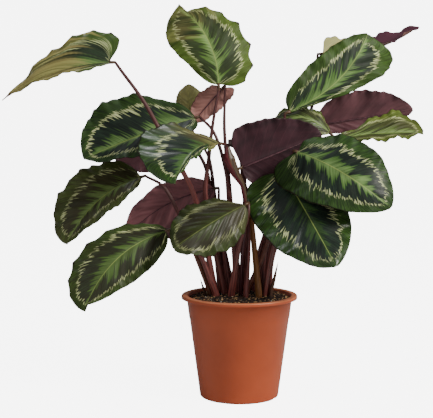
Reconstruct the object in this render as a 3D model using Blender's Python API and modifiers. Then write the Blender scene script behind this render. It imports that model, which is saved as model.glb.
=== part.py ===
# A potted calathea: round leaves on long stalks, grown together with a moulded plastic nursery pot.
# Metres, +Z up. The origin is the centre of the pot's flat base, and the plant's front faces -Y.

import math

import bmesh
import bpy
from mathutils import Vector

GAP = 0.0004                    # clearance where one piece meets another

# Pot
POT_HEIGHT = 0.1685
BASE_RADIUS = 0.0654
WALL_TOP_RADIUS = 0.0864        # outside of the wall, just under the lip
RIM_RADIUS = 0.095
WALL = 0.0016
FLOOR = 0.0022
FLOOR_ROUND = 0.003             # inside, where the wall meets the floor
LIP_THICKNESS = 0.0018
LIP_ROUND = 0.0015              # where the inside of the wall turns out into the lip
LIP_DROP = 0.0054               # how far the lip's skirt hangs down
STEP_HEIGHT = 0.131             # moulded step round the wall
STEP_DEPTH = 0.0006
STEP_SLOPE = 0.0004             # half the height that the step takes
BASE_ROUND = 0.004
ROUND_ANGLES = (0, 30, 60, 90)  # where a rounded corner has its points
POT_STEPS = 48
DRAIN_HOLE_RADIUS = 0.005
DRAIN_HOLE_SIDES = 12
DRAIN_RING_RADIUS = 0.040
DRAIN_RING_TURN = 15
DRAIN_HOLES = 6
NOTCH_SIZE = (0.010, 0.012, 0.005)
NOTCH_ANGLES = (-116, -26, 64, 154)

# Soil
SOIL_BELOW_RIM = 0.006
SOIL_MOUND = 0.008              # how much higher the middle is than the edge
SOIL_RINGS = (0.3, 0.6, 0.85, 1.0)
SOIL_ROUND = 0.0055             # the root ball's lower edge
HOLE_DEPTH = 0.024
HOLE_CLEARANCE = 0.0005
HOLE_OVER = 0.003               # how far a hole's cutter stands out of the soil
HOLE_SIDES = 10

# Leaf blades
BLADE_THICKNESS = 0.0008
STATIONS = 12                   # rows along a blade
HALF_COLUMNS = 3                # columns on each side of the rib
VEIN_SWEEP = 0.22               # how far the side veins run forward on their way out
LOBE = (0.06, 0.06)             # how far the margin reaches back behind the base, in the left and right half
FULLNESS = (0.66, 0.66)         # lower is blunter at the ends
MEETS = (1.0, 1.0)              # where along the rib the margin meets it again
END_WIDTH = 0.05                # share of the half width left at the two ends of a blade
CURL = 0.10                     # how far the margin turns down, as a share of the half width
WAVE_HEIGHT = 0.0035            # the margin's waves
WAVE_COUNT = 3.5
WAVE_SIDE_PHASE = 1.7           # puts the waves of the two margins out of step
WAVE_LEAF_PHASE = 2.4           # and those of one blade and the next

# Stalks
STALK_RADIUS = 0.0021
STALK_FOOT_RADIUS = 0.0050      # with the sheaths that wrap it
STALK_TAPER = 1.2
PULVINUS_RADIUS = 0.0026        # the swelling under the blade
PULVINUS_LENGTH = 0.008
STALK_POINTS = 9
STALK_OVER_SOIL = 0.004
STALK_GAP = 0.0007              # between a stalk's end and its blade

# Every blade has its base, its tip and the way that its upper side faces. The half widths and drops
# are the left and the right half as seen from the base with the upper side up. A negative drop lifts
# a half. Arch is how far the middle of the rib stands off the line from base to tip, and bow is how
# far it lies to the left of it. Broad is where along the blade each half is widest, and lobe how far
# the margin reaches back behind the base, both as shares of its length. Full, meets and sweep stand in
# for FULLNESS, MEETS and VEIN_SWEEP.
LEAVES = {
    "top_left": dict(base=(-0.205, -0.040, 0.545), tip=(-0.370, -0.075, 0.485), faces=(0.0, -0.80, 0.55),
                     arch=0.014, bow=-0.008, half=(0.012, 0.061), drop=(-10, -12), broad=(0.22, 0.19),
                     lobe=(0.0, 0.30), full=(1.2, 1.75)),
    "crown": dict(base=(-0.034, 0.000, 0.511), tip=(-0.100, 0.020, 0.638), faces=(0.05, -1.0, 0.25),
                  arch=0.014, bow=-0.016, half=(0.057, 0.062), drop=(4, 4), broad=(0.60, 0.36),
                  lobe=(0.0, 0.14), full=(0.30, 0.62), meets=(1.02, 0.87)),
    "left_upper": dict(base=(-0.072, 0.020, 0.457), tip=(-0.248, -0.041, 0.392), faces=(0.03, -0.76, 0.63),
                       arch=0.008, half=(0.046, 0.082), drop=(-16, -14), broad=(0.40, 0.53),
                       full=(0.66, 0.58)),
    "mid_front": dict(base=(-0.033, -0.055, 0.418), tip=(-0.099, -0.185, 0.363), faces=(0.10, -0.50, 0.85),
                      arch=0.018, bow=-0.009, half=(0.010, 0.088), drop=(30, -6), broad=(0.30, 0.45),
                      lobe=(0.0, 0.25), full=(1.0, 0.48)),
    "centre_back": dict(base=(0.003, -0.021, 0.378), tip=(0.134, 0.013, 0.430), faces=(-0.30, 0.95, 0.15),
                        half=(0.052, 0.069), drop=(-10, 4), broad=(0.40, 0.20), lobe=(0.10, 0.10), full=(0.66, 0.56)),
    "right_front": dict(base=(0.090, -0.042, 0.404), tip=(0.230, -0.112, 0.321), faces=(-0.20, -0.85, 0.45),
                        arch=0.030, half=(0.063, 0.065), drop=(4, 6), broad=(0.52, 0.34), lobe=(0.40, 0.40)),
    "right_low": dict(base=(0.067, -0.024, 0.373), tip=(0.146, -0.124, 0.232), faces=(-0.15, -0.85, 0.50),
                      arch=0.010, half=(0.062, 0.079), drop=(6, 5), broad=(0.49, 0.35), lobe=(0.18, 0.31)),
    "right_top": dict(base=(0.081, 0.008, 0.467), tip=(0.211, 0.042, 0.594), faces=(0.25, -0.95, 0.0),
                      arch=0.010, bow=-0.018, half=(0.050, 0.066), drop=(4, 6), broad=(0.34, 0.81),
                      lobe=(0.06, 0.0), full=(0.66, 0.38), sweep=0.60),
    "right_far": dict(base=(0.143, 0.109, 0.564), tip=(0.302, 0.086, 0.609), faces=(-0.10, 0.30, 0.95),
                      arch=-0.015, half=(0.057, 0.024), drop=(-56, 10), broad=(0.16, 0.34)),
    "right_upright": dict(base=(0.130, 0.064, 0.445), tip=(0.292, 0.070, 0.470), faces=(-0.15, 0.95, 0.25),
                          half=(0.024, 0.050), drop=(4, 4), broad=(0.40, 0.40)),
    "right_edge": dict(base=(0.146, -0.012, 0.422), tip=(0.298, 0.002, 0.432), faces=(0.0, -0.45, 0.90),
                       arch=0.006, half=(0.050, 0.030), drop=(-24, -12), broad=(0.70, 0.40), lobe=(0.0, 0.0)),
    "right_inner": dict(base=(0.150, 0.038, 0.432), tip=(0.054, 0.036, 0.452), faces=(0.10, -0.80, 0.60),
                        arch=0.016, bow=-0.008, half=(0.030, 0.028), drop=(10, 6), broad=(0.45, 0.40),
                        lobe=(0.0, 0.0)),
    "left_middle": dict(base=(-0.160, 0.005, 0.361), tip=(-0.276, -0.050, 0.257), faces=(-0.05, -0.85, 0.50),
                        arch=0.020, bow=-0.011, half=(0.033, 0.059), drop=(-18, -18), broad=(0.38, 0.46),
                        lobe=(0.0, 0.0), full=(0.90, 0.50)),
    "left_low": dict(base=(-0.117, -0.055, 0.279), tip=(-0.242, -0.116, 0.161), faces=(0.10, -0.93, 0.35),
                     arch=0.012, bow=-0.021, half=(0.045, 0.052), drop=(6, 6), broad=(0.40, 0.57),
                     full=(0.66, 0.48), meets=(0.93, 1.0)),
    "front_low": dict(base=(0.008, -0.055, 0.321), tip=(-0.103, -0.128, 0.260), faces=(0.15, -0.70, 0.70),
                      arch=0.008, half=(0.048, 0.060), drop=(28, 14), broad=(0.42, 0.46)),
    "left_back": dict(base=(-0.041, 0.034, 0.340), tip=(-0.192, 0.052, 0.255), faces=(-0.10, 0.92, 0.36),
                      arch=0.016, bow=0.010, half=(0.040, 0.040), drop=(4, 4), broad=(0.42, 0.42)),
    "back_left": dict(base=(-0.066, 0.082, 0.406), tip=(-0.218, 0.112, 0.394), faces=(0.19, 0.95, 0.25),
                      arch=0.010, half=(0.038, 0.040), drop=(4, 4), broad=(0.44, 0.50)),
    "top_khaki": dict(base=(-0.078, 0.074, 0.440), tip=(-0.086, 0.066, 0.512), faces=(0.0, -1.0, 0.10),
                      arch=0.006, half=(0.023, 0.024), drop=(6, 6), broad=(0.56, 0.60)),
    "top_back": dict(base=(-0.028, 0.044, 0.505), tip=(-0.078, 0.060, 0.446), faces=(-0.10, 0.95, 0.25),
                     arch=0.004, half=(0.025, 0.022), drop=(4, 4), broad=(0.40, 0.30), lobe=(0.10, 0.40)),
    "back_right": dict(base=(0.089, 0.085, 0.376), tip=(0.224, 0.088, 0.302), faces=(0.10, 0.60, 0.80),
                       arch=0.016, half=(0.042, 0.046), drop=(6, 6), broad=(0.44, 0.44)),
    "back_centre": dict(base=(0.012, 0.105, 0.420), tip=(0.060, 0.260, 0.376), faces=(0.0, 0.25, 1.0),
                        arch=0.024, half=(0.052, 0.052), drop=(8, 8), broad=(0.44, 0.44)),
    "back_low_left": dict(base=(-0.050, 0.088, 0.302), tip=(-0.125, 0.215, 0.236), faces=(-0.10, 0.45, 0.90),
                          arch=0.020, half=(0.050, 0.050), drop=(8, 8), broad=(0.44, 0.44)),
    "back_low_right": dict(base=(0.070, 0.092, 0.302), tip=(0.135, 0.215, 0.238), faces=(0.10, 0.45, 0.90),
                           arch=0.020, half=(0.050, 0.050), drop=(8, 8), broad=(0.44, 0.44)),
}

# A stalk's foot on the soil, seen from above, and the points that it passes on its way to its blade.
STALKS = {
    "top_left": ((-0.039, -0.009), (-0.070, -0.022, 0.323), (-0.113, -0.054, 0.412), (-0.150, -0.047, 0.480),
                 (-0.187, -0.042, 0.531)),
    "crown": ((-0.024, -0.004), (-0.054, -0.002, 0.320), (-0.050, 0.0, 0.390), (-0.043, 0.0, 0.450)),
    "left_upper": ((0.0, 0.006), (-0.016, 0.012, 0.318), (-0.022, 0.014, 0.370), (-0.040, 0.018, 0.430)),
    "mid_front": ((0.031, -0.028), (0.018, -0.008, 0.300), (0.006, 0.002, 0.360), (-0.002, -0.004, 0.405)),
    "centre_back": ((0.010, -0.032), (0.014, -0.022, 0.260), (0.008, -0.010, 0.325)),
    "right_front": ((0.041, -0.016), (0.052, -0.020, 0.245), (0.073, -0.012, 0.320), (0.084, -0.016, 0.366)),
    "right_low": ((0.013, -0.006), (0.043, -0.006, 0.248), (0.057, -0.022, 0.335)),
    "right_top": ((0.034, 0.006), (0.044, 0.010, 0.250), (0.070, 0.014, 0.380)),
    "right_far": ((0.036, 0.037), (0.050, 0.046, 0.245), (0.092, 0.060, 0.380), (0.128, 0.092, 0.490)),
    "right_upright": ((0.043, 0.022), (0.053, 0.030, 0.245), (0.104, 0.050, 0.380)),
    "right_edge": ((0.048, -0.002), (0.058, -0.006, 0.245), (0.112, -0.006, 0.375)),
    "right_inner": ((0.045, 0.010), (0.055, 0.014, 0.245), (0.112, 0.030, 0.365), (0.146, 0.036, 0.408)),
    "left_middle": ((-0.047, 0.004), (-0.086, 0.004, 0.270), (-0.120, 0.005, 0.340)),
    "left_low": ((-0.038, -0.022), (-0.062, -0.034, 0.235), (-0.088, -0.046, 0.280)),
    "front_low": ((-0.013, -0.024), (-0.001, -0.040, 0.255), (0.012, -0.052, 0.302)),
    "left_back": ((-0.016, 0.020), (-0.026, 0.027, 0.250), (-0.033, 0.030, 0.305)),
    "back_left": ((-0.026, 0.036), (-0.038, 0.056, 0.300), (-0.048, 0.074, 0.380)),
    "top_khaki": ((-0.032, 0.024), (-0.040, 0.034, 0.250), (-0.052, 0.068, 0.360), (-0.075, 0.067, 0.410)),
    "top_back": ((-0.004, 0.030), (-0.014, 0.038, 0.320), (-0.024, 0.040, 0.430)),
    "back_right": ((0.028, 0.022), (0.038, 0.032, 0.245), (0.066, 0.068, 0.335)),
    "back_centre": ((0.008, 0.042), (0.010, 0.062, 0.290), (0.010, 0.084, 0.390)),
    "back_low_left": ((-0.012, 0.044), (-0.026, 0.062, 0.240), (-0.040, 0.078, 0.290)),
    "back_low_right": ((0.024, 0.044), (0.036, 0.060, 0.235), (0.058, 0.082, 0.290)),
}

# The young leaf is still rolled: its stalk swells into a pointed roll, in one piece.
YOUNG_FOOT = (0.002, -0.016)
YOUNG_ROUTE = ((0.004, -0.026, 0.240), (0.009, -0.038, 0.305), (0.005, -0.046, 0.347),
               (-0.008, -0.053, 0.371), (-0.018, -0.057, 0.394), (-0.020, -0.059, 0.413))
YOUNG_RADII = (0.0034, 0.0032, 0.0028, 0.0026, 0.0036, 0.0074, 0.0095, 0.0030)

# Dry sheaths that stand at the foot of the stalks: foot, tip and radius.
SHEATHS = {
    "dry_sheath_right": ((0.051, -0.012), (0.0625, -0.020, 0.225), 0.0044),
    "dry_sheath_left": ((-0.056, -0.010), (-0.064, -0.018, 0.198), 0.0026),
}

POT_COLOUR = (0.48, 0.13, 0.045, 1)
SOIL_COLOUR = (0.045, 0.028, 0.018, 1)
BLADE_COLOUR = (0.065, 0.16, 0.035, 1)
STALK_COLOUR = (0.10, 0.035, 0.030, 1)
YOUNG_COLOUR = (0.35, 0.06, 0.05, 1)
SHEATH_COLOUR = (0.30, 0.18, 0.09, 1)


def clear_scene():
    for obj in list(bpy.data.objects):
        bpy.data.objects.remove(obj, do_unlink=True)


def new_collection(name):
    collection = bpy.data.collections.new(name)
    bpy.context.scene.collection.children.link(collection)
    return collection


def new_material(name, colour, roughness):
    material = bpy.data.materials.new(name)
    material.use_nodes = True
    shader = material.node_tree.nodes["Principled BSDF"]
    shader.inputs["Base Color"].default_value = colour
    shader.inputs["Roughness"].default_value = roughness
    shader.inputs["Metallic"].default_value = 0.0
    return material


def place(obj, collection, material=None):
    for old in list(obj.users_collection):
        old.objects.unlink(obj)
    collection.objects.link(obj)
    if material is not None:
        obj.data.materials.clear()
        obj.data.materials.append(material)
    return obj


def turned(name, profile, steps, collection, material):
    """A turned piece: its (radius, height) profile starts and ends on the axis, down its outer side."""
    mesh = bpy.data.meshes.new(name)
    verts = [(radius, 0, height) for radius, height in profile]
    mesh.from_pydata(verts, [(i, i + 1) for i in range(len(verts) - 1)], [])
    obj = place(bpy.data.objects.new(name, mesh), collection, material)
    screw = obj.modifiers.new("Screw", "SCREW")
    screw.steps = steps
    screw.render_steps = steps
    screw.use_merge_vertices = True
    screw.merge_threshold = 0.00001
    screw.use_smooth_shade = True
    return obj


def make_cutter(obj, collection):
    place(obj, collection)
    obj.hide_render = True
    obj.display_type = "WIRE"
    return obj


def cut(obj, cutter):
    boolean = obj.modifiers.new("Cut " + cutter.name, "BOOLEAN")
    boolean.operation = "DIFFERENCE"
    boolean.solver = "EXACT"
    boolean.object = cutter


def wall_radius(height):
    """Outside radius of the pot's tapered wall, stepped in below the moulded line."""
    share = height / (POT_HEIGHT - LIP_DROP)
    radius = BASE_RADIUS + (WALL_TOP_RADIUS - BASE_RADIUS) * share
    return radius - (STEP_DEPTH if height < STEP_HEIGHT else 0)


def inner_radius(height):
    """Inside radius of the wall, which has no step."""
    share = height / (POT_HEIGHT - LIP_DROP)
    return BASE_RADIUS + (WALL_TOP_RADIUS - BASE_RADIUS) * share - STEP_DEPTH - WALL


def make_pot(parts, cutters, material):
    turns = [math.radians(degrees) for degrees in ROUND_ANGLES]
    lip_corner = [(RIM_RADIUS - LIP_THICKNESS * (1 - math.sin(a)),
                   POT_HEIGHT - LIP_THICKNESS * (1 - math.cos(a))) for a in turns]
    base_corner = [(wall_radius(0) - BASE_ROUND * (1 - math.cos(a)), BASE_ROUND * (1 - math.sin(a)))
                   for a in turns]
    lip_underside = POT_HEIGHT - LIP_THICKNESS
    skirt_foot = POT_HEIGHT - LIP_DROP
    step_low = STEP_HEIGHT - STEP_SLOPE
    step_high = STEP_HEIGHT + STEP_SLOPE
    profile = [
        (0, FLOOR),
        (inner_radius(FLOOR) - FLOOR_ROUND, FLOOR),
        (inner_radius(FLOOR + FLOOR_ROUND), FLOOR + FLOOR_ROUND),
        (inner_radius(POT_HEIGHT - LIP_ROUND), POT_HEIGHT - LIP_ROUND),
        (inner_radius(POT_HEIGHT) + LIP_ROUND, POT_HEIGHT),
        *lip_corner,
        (RIM_RADIUS, skirt_foot),
        (RIM_RADIUS - WALL, skirt_foot),
        (RIM_RADIUS - WALL, lip_underside),
        (wall_radius(lip_underside), lip_underside),
        (wall_radius(step_high), step_high),
        (wall_radius(step_low), step_low),
        *base_corner,
        (0, 0),
    ]
    pot = turned("pot", profile, POT_STEPS, parts, material)

    for i in range(DRAIN_HOLES):
        angle = math.radians(360 * i / DRAIN_HOLES + DRAIN_RING_TURN)
        place_at = (DRAIN_RING_RADIUS * math.cos(angle), DRAIN_RING_RADIUS * math.sin(angle), FLOOR / 2)
        bpy.ops.mesh.primitive_cylinder_add(vertices=DRAIN_HOLE_SIDES, radius=DRAIN_HOLE_RADIUS,
                                            depth=FLOOR * 3, location=place_at)
        cutter = bpy.context.object
        cutter.name = f"drain_hole_{i + 1}"
        cut(pot, make_cutter(cutter, cutters))
    for i, degrees in enumerate(NOTCH_ANGLES):
        angle = math.radians(degrees)
        place_at = (BASE_RADIUS * math.cos(angle), BASE_RADIUS * math.sin(angle), 0)
        bpy.ops.mesh.primitive_cube_add(size=1, rotation=(0, 0, angle), location=place_at)
        cutter = bpy.context.object
        cutter.name = f"drain_notch_{i + 1}"
        cutter.scale = NOTCH_SIZE
        cut(pot, make_cutter(cutter, cutters))
    return pot


def soil_height(radius):
    edge = POT_HEIGHT - SOIL_BELOW_RIM
    reach = inner_radius(edge)
    return edge + SOIL_MOUND * (1 - (radius / reach) ** 2)


def make_soil(parts, cutters, material, feet):
    low = FLOOR + GAP
    edge = POT_HEIGHT - SOIL_BELOW_RIM
    edge_radius = inner_radius(edge) - GAP
    profile = [(0, soil_height(0))]
    profile += [(edge_radius * share, soil_height(edge_radius * share)) for share in SOIL_RINGS]
    profile += [
        (inner_radius(low + SOIL_ROUND) - GAP, low + SOIL_ROUND),
        (inner_radius(low) - GAP - SOIL_ROUND, low),
        (0, low),
    ]
    soil = turned("soil", profile, POT_STEPS, parts, material)

    holes = bmesh.new()
    for (x, y), radius in feet:
        top = soil_height(math.hypot(x, y)) + HOLE_OVER
        bottom = soil_height(math.hypot(x, y)) - HOLE_DEPTH - GAP
        wide = radius + HOLE_CLEARANCE
        made = bmesh.ops.create_cone(holes, cap_ends=True, segments=HOLE_SIDES, radius1=wide, radius2=wide,
                                     depth=top - bottom)
        bmesh.ops.translate(holes, verts=made["verts"], vec=(x, y, (top + bottom) / 2))
    mesh = bpy.data.meshes.new("stem_holes")
    holes.to_mesh(mesh)
    holes.free()
    cutter = make_cutter(bpy.data.objects.new("stem_holes", mesh), cutters)
    cut(soil, cutter)
    return soil


def blade_frame(leaf):
    """The blade's base, the line to its tip, its upper side's normal and its left."""
    base = Vector(leaf["base"])
    chord = Vector(leaf["tip"]) - base
    ahead = chord.normalized()
    faces = Vector(leaf["faces"])
    normal = (faces - faces.dot(ahead) * ahead).normalized()
    return base, chord, normal, normal.cross(ahead)


def rib_point(leaf, t):
    base, chord, normal, left = blade_frame(leaf)
    hump = 4 * t * (1 - t)
    return base + chord * t + normal * (leaf.get("arch", 0) * hump) + left * (leaf.get("bow", 0) * hump)


def rib_direction(leaf, t):
    step = 0.01
    return (rib_point(leaf, t + step) - rib_point(leaf, t - step)).normalized()


def outline(t, broad, full):
    """Half width along the blade, as a share of the widest: rounded base, short pointed tip."""
    skew = math.log(0.5) / math.log(broad)
    return max(END_WIDTH, max(0, math.sin(math.pi * t ** skew)) ** full)


def blade_point(leaf, t, across, phase):
    """A point of the blade: t runs from base to tip, across from -1 at the right margin to 1 at the left."""
    side = 0 if across >= 0 else 1
    out = abs(across)
    ended = min(t / leaf.get("meets", MEETS)[side], 1)
    spread = outline(ended, leaf["broad"][side], leaf.get("full", FULLNESS)[side])
    lobe = leaf.get("lobe", LOBE)[side] * (spread - END_WIDTH) * (1 - t) ** 2
    s = t + leaf.get("sweep", VEIN_SWEEP) * out * t * (1 - t) - lobe * out ** 2
    ahead = rib_direction(leaf, s)
    normal = blade_frame(leaf)[2]
    normal = (normal - normal.dot(ahead) * ahead).normalized()
    left = normal.cross(ahead)
    drop = math.radians(leaf["drop"][side])
    outward = left * (1 if side == 0 else -1) * math.cos(drop) - normal * math.sin(drop)
    width = leaf["half"][side] * spread
    turn = 2 * math.pi * WAVE_COUNT * t + phase + side * WAVE_SIDE_PHASE
    wave = WAVE_HEIGHT * out ** 2 * math.sin(turn)
    return rib_point(leaf, s) + outward * (width * out) + normal * (wave - CURL * width * out ** 2)


def make_blade(name, leaf, parts, material, phase):
    columns = 2 * HALF_COLUMNS
    grid = bmesh.new()
    bmesh.ops.create_grid(grid, x_segments=STATIONS, y_segments=columns, size=0.5)
    for vert in grid.verts:
        vert.co = blade_point(leaf, vert.co.x + 0.5, vert.co.y * 2, phase)
    bmesh.ops.triangulate(grid, faces=grid.faces)
    mesh = bpy.data.meshes.new(name)
    grid.to_mesh(mesh)
    grid.free()
    mesh.shade_smooth()
    obj = place(bpy.data.objects.new(name, mesh), parts, material)
    solid = obj.modifiers.new("Solidify", "SOLIDIFY")
    solid.thickness = BLADE_THICKNESS
    solid.offset = 0
    solid.use_rim = True
    return obj


def smooth_route(points, count):
    """Points read at even steps from a smooth curve through the route's own points."""
    ends = [points[0] * 2 - points[1], *points, points[-1] * 2 - points[-2]]
    spans = len(points) - 1
    route = []
    for i in range(count):
        place_on = min(i * spans / (count - 1), spans - 1e-6)
        k = int(place_on)
        f = place_on - k
        a, b, c, d = ends[k:k + 4]
        route.append(0.5 * ((2 * b) + (c - a) * f + (2 * a - 5 * b + 4 * c - d) * f ** 2
                            + (3 * b - a - 3 * c + d) * f ** 3))
    return route


def make_tube(name, points, radii, parts, material):
    curve = bpy.data.curves.new(name, "CURVE")
    curve.dimensions = "3D"
    curve.bevel_depth = 1.0
    curve.bevel_resolution = 1
    curve.use_fill_caps = True
    spline = curve.splines.new("POLY")
    spline.points.add(len(points) - 1)
    for spot, point, radius in zip(spline.points, points, radii):
        spot.co = (*point, 1)
        spot.radius = radius
    return place(bpy.data.objects.new(name, curve), parts, material)


def foot_points(foot):
    """The stalk's end in its hole, and the point where it leaves the soil."""
    ground = soil_height(math.hypot(*foot))
    return Vector((*foot, ground - HOLE_DEPTH)), Vector((*foot, ground + STALK_OVER_SOIL))


def make_stalk(name, leaf, stalk, parts, material):
    foot, *route = stalk
    buried, risen = foot_points(foot)
    base = Vector(leaf["base"])
    ahead = rib_direction(leaf, 0.02)
    end = base - ahead * STALK_GAP
    neck = base - ahead * PULVINUS_LENGTH
    points = smooth_route([risen, *[Vector(point) for point in route], neck], STALK_POINTS)
    last = len(points) - 1
    swell = STALK_FOOT_RADIUS - STALK_RADIUS
    radii = [STALK_RADIUS + swell * (1 - i / last) ** STALK_TAPER for i in range(last + 1)]
    radii = [STALK_FOOT_RADIUS, *radii, PULVINUS_RADIUS]
    return make_tube(name, [buried, *points, end], radii, parts, material)


def main():
    clear_scene()
    parts = new_collection("potted_calathea")
    cutters = new_collection("cutters")
    stalk_material = new_material("stalk", STALK_COLOUR, 0.5)
    blade_material = new_material("blade", BLADE_COLOUR, 0.4)
    feet = [(stalk[0], STALK_FOOT_RADIUS) for stalk in STALKS.values()]
    feet.append((YOUNG_FOOT, YOUNG_RADII[0]))
    feet += [(foot, radius) for foot, tip, radius in SHEATHS.values()]

    make_pot(parts, cutters, new_material("pot", POT_COLOUR, 0.4))
    make_soil(parts, cutters, new_material("soil", SOIL_COLOUR, 0.95), feet)
    for i, (name, leaf) in enumerate(LEAVES.items()):
        make_blade("leaf_" + name, leaf, parts, blade_material, WAVE_LEAF_PHASE * i)
        make_stalk("stalk_" + name, leaf, STALKS[name], parts, stalk_material)

    buried, risen = foot_points(YOUNG_FOOT)
    young = [buried, risen, *[Vector(point) for point in YOUNG_ROUTE]]
    make_tube("leaf_young", young, YOUNG_RADII, parts, new_material("young_leaf", YOUNG_COLOUR, 0.45))
    sheath_material = new_material("dry_sheath", SHEATH_COLOUR, 0.8)
    for name, (foot, tip, radius) in SHEATHS.items():
        buried, risen = foot_points(foot)
        tip = Vector(tip)
        points = [buried, risen, risen.lerp(tip, 0.5), tip]
        make_tube(name, points, [radius, radius, radius * 0.8, radius * 0.15], parts, sheath_material)


main()
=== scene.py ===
# Looks for the potted calathea. Metres, +Z up, the plant's front faces -Y.
# The solids come from the frame, and every fine piece follows the same named sizes as its solid.
import random
from math import cos, exp, hypot, log, pi, radians, sin, sqrt

import bmesh
import bpy
from mathutils import Matrix, Vector, noise


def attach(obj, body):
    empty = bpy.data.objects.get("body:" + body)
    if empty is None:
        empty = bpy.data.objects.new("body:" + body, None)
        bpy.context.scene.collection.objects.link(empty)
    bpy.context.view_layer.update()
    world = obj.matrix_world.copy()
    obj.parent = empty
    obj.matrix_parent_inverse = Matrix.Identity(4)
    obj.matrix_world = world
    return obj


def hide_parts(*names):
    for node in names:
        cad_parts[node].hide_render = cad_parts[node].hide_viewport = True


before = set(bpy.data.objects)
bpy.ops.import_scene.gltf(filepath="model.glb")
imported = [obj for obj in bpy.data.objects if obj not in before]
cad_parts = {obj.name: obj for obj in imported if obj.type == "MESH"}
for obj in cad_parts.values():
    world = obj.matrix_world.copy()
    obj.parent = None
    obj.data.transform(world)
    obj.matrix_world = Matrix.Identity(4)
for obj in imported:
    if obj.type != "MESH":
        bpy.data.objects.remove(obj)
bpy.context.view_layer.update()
print("frame loaded")


# Small helpers for nodes. A value is a number, a colour as "rrggbb", or an output of another node,
# and the new node goes into the tree of that other one.

def paint(code):
    # a colour as seen on a screen, turned into the linear one that a shader takes
    parts = [int(code[i:i + 2], 16) / 255 for i in (0, 2, 4)]
    linear = [p / 12.92 if p <= 0.04045 else ((p + 0.055) / 1.055) ** 2.4 for p in parts]
    return (*linear, 1.0)


def feed(socket, value):
    if isinstance(value, bpy.types.NodeSocket):
        socket.id_data.links.new(value, socket)
    elif isinstance(value, str):
        socket.default_value = paint(value)
    else:
        socket.default_value = value


def newNode(kind, *values):
    others = [value for value in values if isinstance(value, bpy.types.NodeSocket)]
    return others[0].id_data.nodes.new("ShaderNode" + kind)


def calc(operation, *values):
    made = newNode("Math", *values)
    made.operation = operation
    for socket, value in zip(made.inputs, values):
        feed(socket, value)
    return made.outputs[0]


def times(first, second):
    return calc("MULTIPLY", first, second)


def plus(first, second):
    return calc("ADD", first, second)


def minus(first, second):
    return calc("SUBTRACT", first, second)


def timesPlus(first, second, third):
    return calc("MULTIPLY_ADD", first, second, third)


def fade(value, start, end, low=0.0, high=1.0):
    # a soft step from low to high, while the value goes from start to end
    made = newNode("MapRange", value)
    made.interpolation_type = "SMOOTHSTEP"
    given = {"Value": value, "From Min": start, "From Max": end, "To Min": low, "To Max": high}
    for key, number in given.items():
        feed(made.inputs[key], number)
    return made.outputs["Result"]


def mix(factor, first, second, kind="MIX"):
    made = newNode("Mix", factor, first, second)
    made.data_type = "RGBA"
    made.blend_type = kind
    feed(made.inputs[0], factor)
    feed(made.inputs[6], first)
    feed(made.inputs[7], second)
    return made.outputs[2]


def join(x, y, z=0.0):
    made = newNode("CombineXYZ", x, y, z)
    for socket, value in zip(made.inputs, (x, y, z)):
        feed(socket, value)
    return made.outputs[0]


def cloud(vector, scale, detail=2.0, rough=0.5):
    made = newNode("TexNoise", vector)
    feed(made.inputs["Vector"], vector)
    made.inputs["Scale"].default_value = scale
    made.inputs["Detail"].default_value = detail
    made.inputs["Roughness"].default_value = rough
    return made.outputs["Fac"]


def marked(tree, name):
    made = tree.nodes.new("ShaderNodeAttribute")
    made.attribute_name = name
    return made.outputs["Fac"]


def mapPlace(tree, mapName):
    # the two numbers of a piece's own UV map
    uv = tree.nodes.new("ShaderNodeUVMap")
    uv.uv_map = mapName
    split = tree.nodes.new("ShaderNodeSeparateXYZ")
    tree.links.new(uv.outputs[0], split.inputs[0])
    return split.outputs[0], split.outputs[1]


def objectPlace(tree):
    return tree.nodes.new("ShaderNodeTexCoord").outputs["Object"]


def seenByCamera(tree):
    return tree.nodes.new("ShaderNodeLightPath").outputs["Is Camera Ray"]


def newMaterial(name):
    material = bpy.data.materials.new(name)
    material.use_nodes = True
    tree = material.node_tree
    return material, tree, tree.nodes["Principled BSDF"]


def finishShader(shader, look, colour, roughness, height):
    # relief is how strong the fine bumps are and how high
    strength, distance = look["relief"]
    bump = newNode("Bump", height)
    bump.inputs["Strength"].default_value = strength
    bump.inputs["Distance"].default_value = distance
    feed(bump.inputs["Height"], height)
    feed(shader.inputs["Base Color"], colour)
    feed(shader.inputs["Roughness"], roughness)
    feed(shader.inputs["Normal"], bump.outputs["Normal"])


def newGroup(name, takes, gives):
    tree = bpy.data.node_groups.new(name, "ShaderNodeTree")
    for socketName in takes:
        tree.interface.new_socket(socketName, in_out="INPUT", socket_type="NodeSocketFloat")
    for socketName in gives:
        tree.interface.new_socket(socketName, in_out="OUTPUT", socket_type="NodeSocketFloat")
    return tree, tree.nodes.new("NodeGroupInput").outputs, tree.nodes.new("NodeGroupOutput").inputs


def placeGroup(tree, group, **values):
    made = tree.nodes.new("ShaderNodeGroup")
    made.node_tree = group
    for key, value in values.items():
        feed(made.inputs[key], value)
    return made.outputs


# Small helpers for meshes

def newObject(name, data):
    # from a bmesh, or from what a camera or a lamp has for data
    if isinstance(data, bmesh.types.BMesh):
        form, data = data, bpy.data.meshes.new(name)
        form.to_mesh(data)
        form.free()
    made = bpy.data.objects.new(name, data)
    bpy.context.scene.collection.objects.link(made)
    return made


def newPiece(name, form, materials, replaced=()):
    piece = newObject(name, form)
    piece.data.shade_smooth()
    for material in materials:
        piece.data.materials.append(material)
    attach(piece, "root")
    if replaced:
        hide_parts(*replaced)
    return piece


def newGrid(rows, columns, mapName):
    # a flat sheet from -0.5 to 0.5, with its own UV map, to be bent into shape
    form = bmesh.new()
    form.loops.layers.uv.new(mapName)
    bmesh.ops.create_grid(form, x_segments=rows, y_segments=columns, size=0.5, calc_uvs=True)
    return form


def markMesh(mesh, **values):
    # numbers on the points of a mesh for its material to read: one for all, or a list with one for each
    for name, value in values.items():
        layer = mesh.attributes.new(name, "FLOAT", "POINT")
        layer.data.foreach_set("value", value if isinstance(value, list) else [value] * len(mesh.vertices))


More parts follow.
